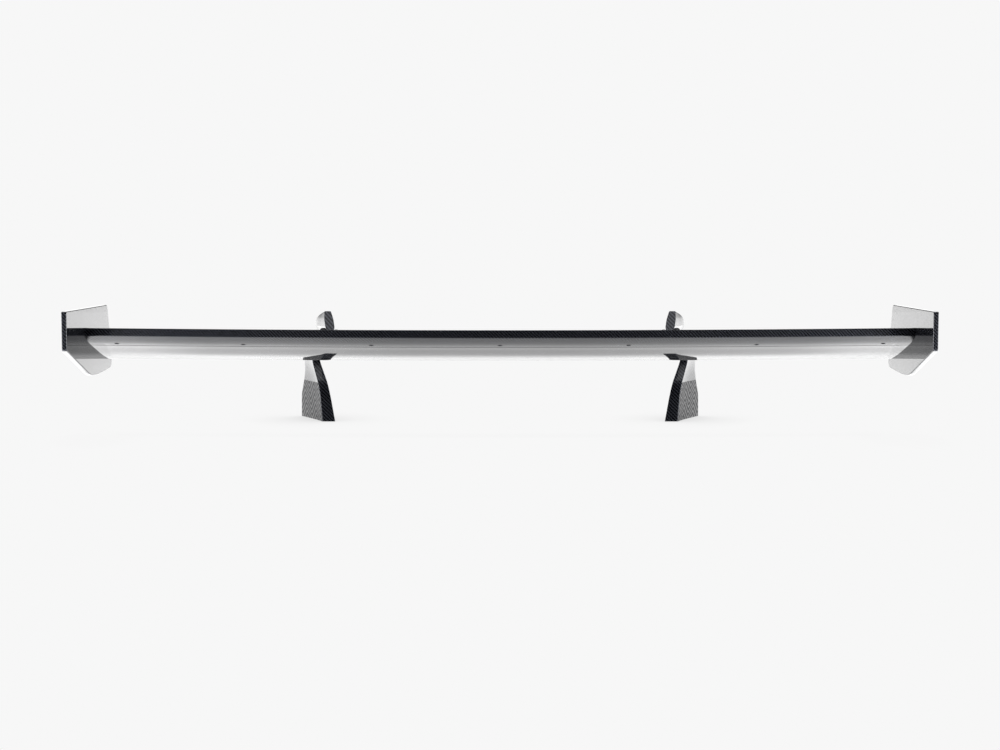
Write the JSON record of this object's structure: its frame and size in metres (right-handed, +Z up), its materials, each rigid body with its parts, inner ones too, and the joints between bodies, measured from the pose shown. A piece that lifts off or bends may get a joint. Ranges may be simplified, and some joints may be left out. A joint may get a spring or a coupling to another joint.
{
  "type": "racing rear wing",
  "caption": "Wide bowed carbon wing with a raised trailing lip, tapered endplates and two toed swan-neck uprights; the wing's angle adjusts on the uprights.",
  "frame": {"origin": "on the boot lid at mid-span, under the middle of the bounding box", "axes": "+X to the car's right along the span, +Y forward in the direction of travel, +Z up"},
  "size_m": [1.63, 0.72, 0.267],
  "materials": {
    "gloss_carbon": "clear-coated twill carbon fibre, mirror gloss",
    "inner_carbon": "bare moulded carbon, matt",
    "black_alloy": "black anodised aluminium",
    "alloy": "machined",
    "steel": "bright stainless steel",
    "black_steel": "black oxide steel",
    "bronze": "turned bronze"
  },
  "bodies": {
    "uprights": {"clamp_bolt_left": "steel", "clamp_bolt_right": "steel", "clamp_nut_left": "steel", "clamp_nut_right": "steel", "foot_insert_front_left": "steel", "foot_insert_front_right": "steel", "foot_insert_rear_left": "steel", "foot_insert_rear_right": "steel", "foot_plate_left": "alloy", "foot_plate_right": "alloy", "pivot_bolt_left": "steel", "pivot_bolt_right": "steel", "pivot_bush_left": "bronze", "pivot_bush_right": "bronze", "pivot_nut_left": "steel", "pivot_nut_right": "steel", "upright_left": "gloss_carbon", "upright_right": "gloss_carbon"},
    "main_plane": {"angle_bracket_left": "black_alloy", "angle_bracket_right": "black_alloy", "bracket_rib_left": "inner_carbon", "bracket_rib_right": "inner_carbon", "bracket_screw_front_left": "black_steel", "bracket_screw_front_right": "black_steel", "bracket_screw_rear_left": "black_steel", "bracket_screw_rear_right": "black_steel", "end_rib_left": "inner_carbon", "end_rib_right": "inner_carbon", "endplate_left": "gloss_carbon", "endplate_right": "gloss_carbon", "endplate_screw_1_left": "black_steel", "endplate_screw_1_right": "black_steel", "endplate_screw_2_left": "black_steel", "endplate_screw_2_right": "black_steel", "endplate_screw_3_left": "black_steel", "endplate_screw_3_right": "black_steel", "strip_screw_1": "black_steel", "strip_screw_2": "black_steel", "strip_screw_3": "black_steel", "strip_screw_4": "black_steel", "strip_screw_5": "black_steel", "strip_screw_6": "black_steel", "strip_screw_7": "black_steel", "trailing_edge_strip": "gloss_carbon", "wing_lower_skin": "gloss_carbon", "wing_spar": "inner_carbon", "wing_upper_skin": "gloss_carbon"}
  },
  "joints": [
    {"name": "wing_angle", "type": "hinge", "parent": "uprights", "child": "main_plane", "pos_m": [0, -0.076, 0.207], "axis": [1, 0, 0], "range_deg": [-2, 5]}
  ]
}
